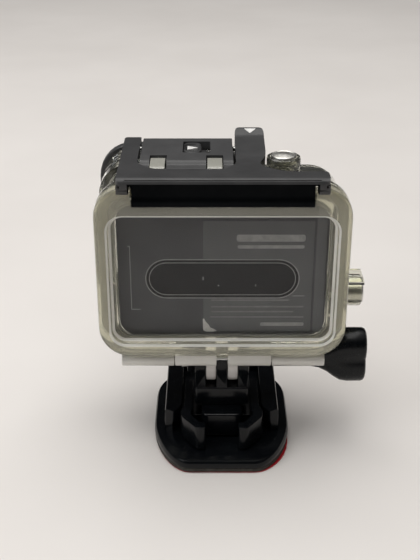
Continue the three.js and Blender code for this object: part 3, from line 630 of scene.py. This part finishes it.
def back_door():
    outer, recess, plug = rounded(*FLANGE), rounded(*RECESS), rounded(*PLUG)
    levels = [
        (recess, 0.7, WINDOW_REAR), (recess, 0.2, WINDOW_REAR - 0.15), (recess, 0.0, WINDOW_REAR - 0.6),
        (recess, -0.15, 0.6), (recess, -0.3, 0.2), (recess, -0.7, 0.0),
        (outer, 1.0, 0.0), (outer, 0.3, 0.25), (outer, 0.0, 0.9), (outer, 0.0, 3.6), (outer, 0.3, DOOR_DEPTH),
        (plug, 0.0, DOOR_DEPTH), (plug, 0.0, 5.0), (plug, 0.3, PLUG_FRONT),
    ]
    door = skin("back_door_clear", levels, "y", HOME)
    low, high = HINGE_SPLITS[2:4]
    web = prism("web", [(1.4, HINGE[1]), (3.6, HINGE[1]), (3.6, -25), (0.8, -25)], low, high, "x", HOME)
    notches = [
        box("lip_notch", (-24.8, -1, 19.4), (24.8, DOOR_DEPTH + 0.5, 30), HOME),
        box("end_notch", (-28.5, -1.2, 23.5), (28.5, DOOR_DEPTH + 0.7, 30.2), HOME),
    ]
    combine(door, notches, "DIFFERENCE")
    combine(door, [web, rod("barrel", HINGE_R, low, high, HINGE, edge=0.25)], "UNION")
    split = box("split", (-1.65, -1, HINGE[1] - 3), (1.65, 6, FLANGE[2] + 0.1), HOME)
    combine(door, [split, rod("hinge_bore", HINGE_BORE_R, *HINGE_SPAN, HINGE, segments=20)], "DIFFERENCE")
    finish_piece(door, "back_door", MATERIALS["clear_rim"], ["back_door"], 28)
    second_finish(door, "clear_window", lambda x, y, z: abs(x) < RECESS[1] and RECESS[2] < z < RECESS[3]
                  and (abs(y - WINDOW_REAR) < 0.05 or abs(y - PLUG_FRONT) < 0.05))
    # the next two bands are painted highlight: the whitish finish on the recess's inner edge and on the
    # rounded rim around it
    second_finish(door, "clear_edge", lambda x, y, z: abs(x) < RECESS[1] and RECESS[2] < z < RECESS[3]
                  and 0.05 <= WINDOW_REAR - y < 0.6)
    second_finish(door, "clear_edge", lambda x, y, z: abs(x) < RECESS[1] + 0.8 and 0.02 < y < 0.6
                  and RECESS[2] - 0.8 < z < RECESS[3] + 0.8)
    return second_finish(door, "clear_hazy", lambda x, y, z: z < FLANGE[2] - 0.3)


def door_seal():
    outer, inner = rounded(*SEAL_OUTER), rounded(*SEAL_INNER)
    rear, front = FLANGE_REAR + 0.15, 5.8
    levels = [(outer, 0.3, rear), (outer, 0.0, rear + 0.4), (outer, 0.0, front), (inner, 0.0, front),
              (inner, 0.0, rear + 0.4), (inner, -0.2, rear)]
    return finish_piece(skin("door_seal_ring", levels, "y", HOME, True), "housing", MATERIALS["seal"],
                        ["door_seal"])


def port_bezel():
    outer, opening, seat = (around_port(*size) for size in (PORT_FRAME, PORT_OPENING, PORT_SEAT))
    levels = [(seat, 0, 36.4), (outer, 0.3, 36.4), (outer, 0, 36.8), (outer, 0, 38.9), (outer, 0.3, 39.6),
              (outer, 1.1, 40), (opening, -0.5, 40), (opening, 0, 39.6), (opening, 0, 39.1), (seat, 0, 39.1)]
    bezel = skin("port_frame", levels, "y", HOME, True)
    seats = []
    for sx in (-1, 1):
        for sz in (-1, 1):
            at = (PORT[0] + PORT_SCREW_OFFSET * sx, PORT[1] + PORT_SCREW_OFFSET * sz)
            seats += [rod("seat", 1.75, 38.9, 41, at, "y", segments=28)]
    combine(bezel, seats, "DIFFERENCE")
    return finish_piece(bezel, "housing", MATERIALS["latch_black"], ["port_bezel"])


# ------------------------------------------------------------------ latch
def latch_lever():
    left, right, front = LEVER
    plan = prism("latch_lever_body", soften([
        (left, front, 1.0), (left, 9.5, 1.2), (left + 3.0, 5.6, 1.0), (right - 3.0, 5.6, 1.0),
        (right, 9.5, 1.2), (right, front, 1.0),
    ]), 20, 30, "z", HOME)
    side = prism("side", soften([
        (12.4, 28.3, 0.7), (front, 28.3, 0.6), (front, 25.2, 0), (front - 2, 25.2, 0), (front - 2, 26, 0),
        (13.4, 26, 0), (11.2, 23, 1.0), (8.7, 22.4, 1.0), (6.0, 23.4, 1.0), (5.8, 26.2, 1.4),
        (8.8, 27.5, 1.2), (11.4, 27.3, 0.4),
    ]), left - 1, right + 1, "x", HOME)
    combine(plan, [side], "INTERSECT")
    cuts = [box("notch", (low - 0.35, 4, 20), (high + 0.35, 16.8, 30), HOME) for low, high in KNUCKLES]
    slot = soften([(-11.2, 19.2, 0.6), (-3.4, 19.2, 0.6), (-3.4, 29, 0.6), (-11.2, 29, 0.6)])
    cuts.append(prism("slot", slot, 20, 30, "z", HOME))
    cuts.append(rod("axle", 1.4, left - 1, right + 1, LATCH, segments=20))
    combine(plan, cuts, "DIFFERENCE")
    bevel(plan, 0.22, 2, 40)
    return finish_piece(plan, "latch_lever", MATERIALS["lever_black"], ["latch_lever"])


def latch_hook():
    front = HOOK_FRONT
    plan = prism("latch_hook_frame", soften([
        (-28.2, front, 2.0), (-28.2, -3.5, 1.6), (28.0, -3.5, 1.6), (28.0, 2.8, 1.2), (15.5, 2.8, 4.5),
        (9.7, 8.6, 2.5), (12.0, 16.0, 3.0), (12.0, front, 3.2), (3.6, front, 3.0), (3.6, 9.4, 1.0),
        (0.8, 4.8, 1.6), (-19.4, 4.8, 2.6), (-23.4, 9.6, 2.6), (-23.4, front, 1.2),
    ], 6), 18, 32, "z", HOME)
    side = prism("side", soften([
        (-3.5, 25.5, 0.6), (front, 25.5, 0), (front, 28.6, 0.7), (-3.5, 28.6, 2.0),
    ], 7), -30, 30, "x", HOME)
    rise = prism("rise", soften([
        (8.5, 27, 0), (front, 27, 0), (front, 31.5, 0.5), (front - 1.1, 31.55, 0.4), (front - 3.9, 30.0, 1.2),
        (14.0, 28.6, 3.0),
    ]), 3, 13, "x", HOME)
    combine(side, [rise], "UNION")
    combine(plan, [side], "INTERSECT")
    hollow = soften([(-6, 24, 0), (-0.1, 24, 0), (-0.1, 27.2, 0.8), (-6, 27.2, 0)])
    combine(plan, [prism("hollow", hollow, -25.2, 25.2, "x", HOME)], "DIFFERENCE")
    lip = prism("lip", soften([
        (2.2, 27.5, 0), (2.2, 19.75, 0.5), (-1.0, 19.75, 0.5), (-1.0, 21.3, 0.4), (-0.1, 22.1, 0.5),
        (-0.1, 27.5, 0),
    ]), -24.4, 24.4, "x", HOME)
    claw = soften([(2.2, 26.8, 0), (2.2, 24.0, 0.8), (0.0, 23.6, 0.6), (-2.7, 23.6, 1.7), (-3.45, 25.6, 1.3),
                   (-3.45, 26.8, 0)])
    claws = [prism("claw", claw, low, high, "x", HOME) for low, high in ((-28.2, -25.2), (25.2, 28.0))]
    combine(plan, [lip, *claws], "UNION")
    groove = rod("groove", 0.26, -25.8, 25.6, (-3.04, 28.14), segments=12)
    combine(plan, [groove], "DIFFERENCE")
    bevel(plan, 0.3, 3, 40)
    finish_piece(bake(plan), "latch_hook", MATERIALS["latch_black"], ["latch_hook"])
    # the undercut lip's faces get the near-black finish: painted shade under the overhanging bar
    return second_finish(plan, "recess_black", lambda x, y, z: abs(x) < 25.25 and -3.3 < y < 2.4 and z < 27.3)


def lock_slider():
    foot = box("lock_slider_body", (-11.8, 18.5, 24.6), (-4.6, 29.6, 25.8), HOME)
    pad = slab("pad", soften([(-11.0, 19.6, 2.4), (-6.0, 19.6, 2.4), (-6.0, 28.6, 2.4), (-11.0, 28.6, 2.4)]),
               25.4, 28.2, "z", HOME, 0.35)
    combine(foot, [pad], "UNION")
    dish = turned("dish", [(0, -3), (2.7, -1.0), (3.4, 0.3), (0, 0.3)], "z", (-8.4, 24.2, 28.35), 40, HOME)
    combine(foot, [dish], "DIFFERENCE")
    return finish_piece(foot, "latch_lock", MATERIALS["latch_black"], ["lock_slider"])


def arrow(name, corners, height, slope, body):
    """A plain white triangle, laid on a surface that starts at height and climbs forwards by slope."""
    outline = soften([(x, y, 0.25) for x, y in corners])
    start = min(y for x, y in outline)
    rings = [[(x, y, height + slope * (y - start) + lift) for x, y in outline] for lift in (-0.3, 0.05)]
    obj = stack(name, rings, False, HOME)
    return finish_piece(obj, body, MATERIALS["print_white"])


# ------------------------------------------------------------------ push buttons
def button_cap(name, button):
    r, top, wall = button["cap"], button["top"], button["wall"]
    under = top - 0.3
    profile = [(0, -wall - 0.1), (STEM_R - 0.2, -wall - 0.1), (STEM_R, -wall + 0.1), (STEM_R, under),
               (r - 0.7, under), (r - 0.7, 2.9), (r, 2.9), (r, top + 0.1)]
    for i in range(1, 6):
        angle = TAU / 4 * i / 5
        profile.append((r - 0.45 * (1 - math.cos(angle)), top + 0.1 + 0.45 * math.sin(angle)))
    profile += [(r - 0.75, top + 0.42), (r * 0.5, top + 0.72), (r * 0.25, top + 0.86), (0, top + 0.9)]
    cap = turned(f"{name}_cap_metal", profile, button["axis"], button["at"], 64, HOME)
    return finish_piece(cap, f"{name}_button", MATERIALS["button_metal"],
                        [f"{name}_button_cap"])


def button_spring(name, button):
    x, y, z = button["at"]
    start = CUP_FLOOR + 0.35
    length = button["top"] - 0.6 - start
    turns = round(button["top"] * 0.7)
    offset = place(button["axis"], 0, 0, start)
    at = (x + offset[0], y + offset[1], z + offset[2])
    radius = min(button["cap"] - 1.6, 2.2)
    spring = coil(f"{name}_spring_wire", button["axis"], at, radius, 0.25, turns, length, HOME)
    return finish_piece(spring, "housing", MATERIALS["steel"], [f"{name}_button_spring"])


# ------------------------------------------------------------------ camera behind the window
def rear_cover():
    cover = slab("camera_cover_plate", rounded(*CAMERA), CAMERA_REAR, 7.9, "y", HOME, 0.5)
    seat = slab("seat", rounded(*STADIUM), CAMERA_REAR - 1, CAMERA_REAR + 0.6, "y", HOME)
    film_seat = slab("film_seat", rounded(*LABEL), CAMERA_REAR - 1, CAMERA_REAR + 0.1, "y", HOME)
    combine(cover, [seat, film_seat], "DIFFERENCE")
    return finish_piece(cover, "housing", MATERIALS["camera_case"], ["camera_rear_cover"])


def rear_inset():
    panel = plate("stadium_panel", rounded(*STADIUM, 14), [(0.2, 6.55), (0.2, 6.1), (0.32, 6.0), (1.15, 6.0),
                                                           (1.3, 6.15)], "y", HOME)
    return finish_piece(panel, "housing", MATERIALS["inset"], ["rear_inset"])


def rear_label():
    film = slab("label_film", inset(rounded(*LABEL), 0.1), CAMERA_REAR - 0.04, CAMERA_REAR + 0.09, "y", HOME)
    combine(film, [slab("hole", rounded(*STADIUM), 5, 7, "y", HOME)], "DIFFERENCE")
    return finish_piece(film, "housing", MATERIALS["label"], ["rear_label"])


def outline_band(name, outline, depth, width, rear, material):
    """A thin printed line that follows an outline."""
    levels = [(outline, depth, rear), (outline, depth, rear + 0.06), (outline, depth + width, rear + 0.06),
              (outline, depth + width, rear)]
    return finish_piece(skin(name, levels, "y", HOME, True), "housing", MATERIALS[material])


def print_bars(name, bars, rear, material):
    """Plain printed bars: (left, right, bottom, top)."""
    parts = []
    for left, right, low, high in bars:
        outline = rounded(left, right, low, high, min(high - low, right - left) * 0.3, 3)
        parts.append(slab("bar", outline, rear, rear + 0.05, "y", HOME))
    return finish_piece(merge(name, parts), "housing", MATERIALS[material])


def camera_prints():
    outline = rounded(*STADIUM, 14)
    outline_band("stadium_line_outer", outline, 0.0, 0.28, CAMERA_REAR - 0.1, "print_light")
    outline_band("stadium_line_inner", outline, 1.05, 0.2, CAMERA_REAR - 0.08, "print_light")
    bars = [(3.9, 23.0, 7.2, 9.3), (4.2, 22.8, 5.1, 6.1), (20.0, 23.4, -9.8, -9.6),
            (-3.5, 23.4, -16.6, -16.4), (11.0, 23.5, -19.4, -18.3)]
    print_bars("label_bars", bars, CAMERA_REAR - 0.1, "print_light")
    rows = [(-3.2, 19.0, -11.3, -10.8), (-3.2, 23.3, -13.4, -12.9), (-3.2, 20.4, -15.0, -14.5)]
    print_bars("label_rows", rows, CAMERA_REAR - 0.1, "print_dim")
    bracket = [(-26.05, -25.85, -14.1, 5.8), (-26.6, -25.9, 5.65, 5.85), (-25.9, -23.4, -14.15, -13.95)]
    print_bars("cover_bracket_line", bracket, CAMERA_REAR - 0.06, "print_light")
    torn = [(-5.6, -18.3), (-5.2, -18.2), (-4.7, -19.3), (-3.9, -20.2), (-3.4, -21.2), (-2.2, -21.7),
            (-1.5, -22.3), (-2.6, -22.5), (-4.6, -22.5), (-5.5, -22.0)]
    fleck = prism("label_worn_corner", soften([(a, b + 1.2, 0.2) for a, b in torn], 3), CAMERA_REAR - 0.12,
                  CAMERA_REAR - 0.05, "y", HOME)
    finish_piece(fleck, "housing", MATERIALS["print_white"])
    print_bars("cover_side_strip", [(26.1, 29.0, -21.5, 18.4)], CAMERA_REAR - 0.02, "label")
    scuffs = [(-5.6, -5.3, -4.8, -3.7), (-1.3, -0.9, -6.7, -6.3), (9.4, 9.55, -6.8, -6.1)]
    print_bars("inset_scuffs", scuffs, 6.05, "print_light")


# ------------------------------------------------------------------ mount and buckle
def base_outline(grow=0.0, steps=10):
    """The base seen from above: a narrow straight rear edge that widens to nearly straight sides."""
    half, rear, front = 20.5 + grow, -24 - grow, 26 + grow

    def curve(p0, p1, p2, p3):
        points = []
        for i in range(steps):
            t = i / steps
            s = 1 - t
            points.append(tuple(s ** 3 * Vector(p0) + 3 * s * s * t * Vector(p1) + 3 * s * t * t * Vector(p2)
                                + t ** 3 * Vector(p3)))
        return points

    right = curve((9.5, rear), (14.5, rear), (half, -13), (half, -2)) + [(half, -2)]
    right += curve((half, 12), (half, 21), (16, front), (8, front)) + [(8, front)]
    return right + [(-x, y) for x, y in reversed(right)]


def mount_base():
    outline = base_outline()
    base = plate("mount_base_plate", outline, [(0.5, 1.65), (0.1, 1.75), (0.0, 2.1), (0.05, 2.7), (0.25, 3.5),
                                               (0.5, 3.85), (0.9, 4.0)])
    rail_plan = soften([(17.2, -7.4, 0.5), (14.3, -9.2, 0.8), (12.6, -6.6, 0.6), (11.9, -4.0, 0.5),
                        (11.9, 22, 0), (17.2, 22, 0)])
    section = soften([(14.8, 3.8, 0), (17.2, 3.8, 0), (17.0, 11.5, 1.0), (11.9, 11.5, 0.5), (11.9, 7.8, 0.3),
                      (14.8, 7.8, 0.3)])
    rails = []
    for side in (-1, 1):
        rail = prism("rail", [(side * x, y) for x, y in rail_plan], 3.7, 12)
        beam = prism("beam", [(side * x, z) for x, z in section], -12, 22, "y")
        rails.append(combine(rail, [beam], "INTERSECT"))
    stop = box("stop", (-17.2, 21.9, 3.8), (17.2, 24, 9.5))
    bump_pad = box("bump", (-1.7, -20.2, 3.9), (1.7, -18.6, 4.2))
    combine(base, [*rails, stop, bump_pad], "UNION")
    bevel(base, 0.25, 2, 42)
    return finish_piece(base, "mount", MATERIALS["mount_gloss"], ["mount_base"])


def foam_and_liner():
    pad = slab("foam_tape", base_outline(-0.15), 0.4, 1.55, "z", None, 0.12)
    finish_piece(pad, "mount", MATERIALS["foam"], ["adhesive_pad"])
    film = []
    for x, y in base_outline(-0.5):
        away = math.degrees(math.atan2(y, x)) + 38
        stray = 1.0 * math.exp(-((away / 24) ** 2))
        film.append((x + stray * 0.8, y - stray * 0.6))
    liner = slab("liner_film", film, 0.0, 0.3)
    finish_piece(liner, "mount", MATERIALS["liner"], ["release_liner"])


def buckle_body():
    sled = slab("buckle_moulding", rounded(-14.5, 14.5, -4.5, 21.2, 0.6, 3), 4.4, 7.4, "z", None, 0.3)
    tongue = slab("tongue", rounded(-6, 6, -11.8, 11, 2, 6), 4.6, 12.2, "z", None, 0.7, 5)
    neck = slab("neck", rounded(-7.95, 7.95, -6.6, 6.6, 0.8, 4), 12.3, 18.2, "z", None, 0.5)
    root = box("root", (-6, -6, 11.5), (6, 6, 12.9))
    parts = [tongue, root, neck]
    for x in (-6.4, 0.0, 6.4):
        parts.append(box("shank", (x - 1.55, -6.3, 17.5), (x + 1.55, 6.3, BOLT_Z - 3)))
        parts.append(rod("prong", PRONG_R, x - 1.55, x + 1.55, (0, BOLT_Z), "x", None, 56, 0.3))
    parts.append(rod("nut_boss", 5.6, -10.2, -7.9, (0, BOLT_Z), "x", None, 48, 0.3))
    combine(sled, parts, "UNION")
    pocket = rod("pocket", 4.7, -10.3, -8.1, (0, BOLT_Z), "x", None, 6)
    combine(sled, [pocket, rod("bore", BOLT_BORE_R, -11, 9, (0, BOLT_Z), "x", None, 32)], "DIFFERENCE")
    return finish_piece(sled, "buckle", MATERIALS["mount_gloss"], ["buckle_body"])


def clip_arm(side, name):
    outline = soften([
        (11.2, 8, 0), (8.7, 8, 0), (8.7, -8, 1.0), (9.4, -11, 1.4), (6.4, -15.4, 0.8), (4.8, -15.4, 0.4),
        (4.8, -18.4, 0.6), (7.2, -18.8, 1.4), (12.2, -12.0, 1.6), (12.2, -8.6, 0.8), (11.2, -6.8, 1.0),
    ])
    mirrored = [(side * x, y) for x, y in outline]
    arm = prism(f"{name}_moulding", mirrored, 7.7, 12)
    low = prism("low", mirrored, 4.7, 7.9)
    combine(low, [box("front", (-20, -5.2, 4), (20, 20, 9))], "DIFFERENCE")
    combine(arm, [low], "UNION")
    bevel(arm, 0.45, 3, 40)
    body = "clip_left" if side < 0 else "clip_right"
    return finish_piece(arm, body, MATERIALS["mount_gloss"], [name])


def thumb_knob():
    """A round neck that opens out into a flat two-lobed paddle."""
    stations = [(8.4, 3.4, 3.4), (8.6, 3.6, 3.6), (26.5, 3.6, 3.6), (29.0, 4.1, 3.7), (31.5, 5.4, 4.0),
                (33.5, 7.0, 4.3), (35.4, 8.2, 4.4), (37.5, 8.6, 4.3), (41.6, 8.6, 4.1), (42.4, 8.3, 3.8),
                (42.8, 7.7, 3.2)]
    rings = []
    for x, tall, wide in stations:
        ring = []
        for i in range(64):
            angle = TAU * i / 64
            lobe = abs(math.cos(angle)) ** 1.7
            radius = wide + (tall - wide) * lobe
            ring.append((x, radius * math.sin(angle), BOLT_Z + radius * math.cos(angle)))
        rings.append(ring)
    knob = stack("thumb_knob_paddle", rings)
    combine(knob, [rod("bore", 2.55, 8, 34.4, (0, BOLT_Z), "x", None, 32)], "DIFFERENCE")
    return finish_piece(knob, "thumb_screw", MATERIALS["knob_black"], ["thumb_knob"])


housing_shell()
back_door()
door_seal()
port_bezel()
latch_lever()
latch_hook()
lock_slider()
arrow("slider_arrow", [(-9.9, 25.6), (-9.9, 22.4), (-6.9, 24.0)], 28.05, 0.0, "latch_lock")
arrow("hook_arrow", [(6.3, 31.3), (9.8, 31.3), (8.0, 29.7)], 30.6, 0.55, "latch_hook")
for button_name, button_facts in BUTTONS.items():
    button_cap(button_name, button_facts)
    button_spring(button_name, button_facts)
rear_cover()
rear_inset()
rear_label()
camera_prints()
mount_base()
foam_and_liner()
buckle_body()
clip_arm(-1, "clip_arm_left")
clip_arm(1, "clip_arm_right")
thumb_knob()


# ------------------------------------------------------------------ stage
def make_floor():
    bm = bmesh.new()
    bmesh.ops.create_grid(bm, x_segments=1, y_segments=1, size=1.6)
    floor = new_object("floor", bm)
    material, shader = surface("floor_paper", Roughness=0.85)
    shader.inputs["Specular IOR Level"].default_value = 0.2
    mottle = noise(material, 9, 3)
    paper = ramp(material, mottle, (0.78, 0.745, 0.715), (0.82, 0.785, 0.755))
    wire(material, paper, shader.inputs["Base Color"])
    floor.data.materials.append(material)


def area_light(name, place_at, look_at, size, watts, colour=(1, 1, 1)):
    data = bpy.data.lights.new(name, "AREA")
    data.shape = "RECTANGLE"
    data.size = size[0]
    data.size_y = size[1]
    data.energy = watts
    data.color = colour
    lamp = bpy.data.objects.new(name, data)
    lamp.location = place_at
    lamp.rotation_euler = (Vector(look_at) - Vector(place_at)).to_track_quat("-Z", "Y").to_euler()
    bpy.context.scene.collection.objects.link(lamp)


def make_world():
    """A room that is dark around the horizon and lighter overhead."""
    world = bpy.data.worlds.new("studio")
    world.use_nodes = True
    tree = world.node_tree
    background = tree.nodes["Background"]
    coords = tree.nodes.new("ShaderNodeTexCoord")
    split = tree.nodes.new("ShaderNodeSeparateXYZ")
    sky = tree.nodes.new("ShaderNodeValToRGB")
    sky.color_ramp.elements[0].position = 0.62
    sky.color_ramp.elements[0].color = (0.045, 0.045, 0.047, 1)
    sky.color_ramp.elements[1].position = 0.9
    sky.color_ramp.elements[1].color = (0.95, 0.94, 0.92, 1)
    tree.links.new(coords.outputs["Generated"], split.inputs["Vector"])
    tree.links.new(split.outputs["Z"], sky.inputs["Fac"])
    tree.links.new(sky.outputs["Color"], background.inputs["Color"])
    background.inputs["Strength"].default_value = 0.6
    bpy.context.scene.world = world


def make_lights():
    middle = (0.0, 0.05, 0.03)
    area_light("softbox_top", (-0.10, 0.08, 0.90), middle, (1.0, 0.9), 7.6, (1.0, 0.985, 0.965))
    area_light("softbox_left", (-0.75, -0.45, 0.55), middle, (0.4, 0.5), 2.0, (0.96, 0.98, 1.0))
    make_world()
    bpy.context.scene.view_settings.view_transform = "Standard"


def make_camera():
    data = bpy.data.cameras.new("camera")
    data.sensor_width = 36.0
    data.lens = 64.29
    data.clip_start = 0.01
    camera = bpy.data.objects.new("camera", data)
    camera.location = (-3.5 * MM, -260.0 * MM, 177.5 * MM)
    camera.rotation_euler = (math.radians(64.0), 0.0, 0.0)
    bpy.context.scene.collection.objects.link(camera)
    bpy.context.scene.camera = camera


make_camera()
make_floor()
make_lights()
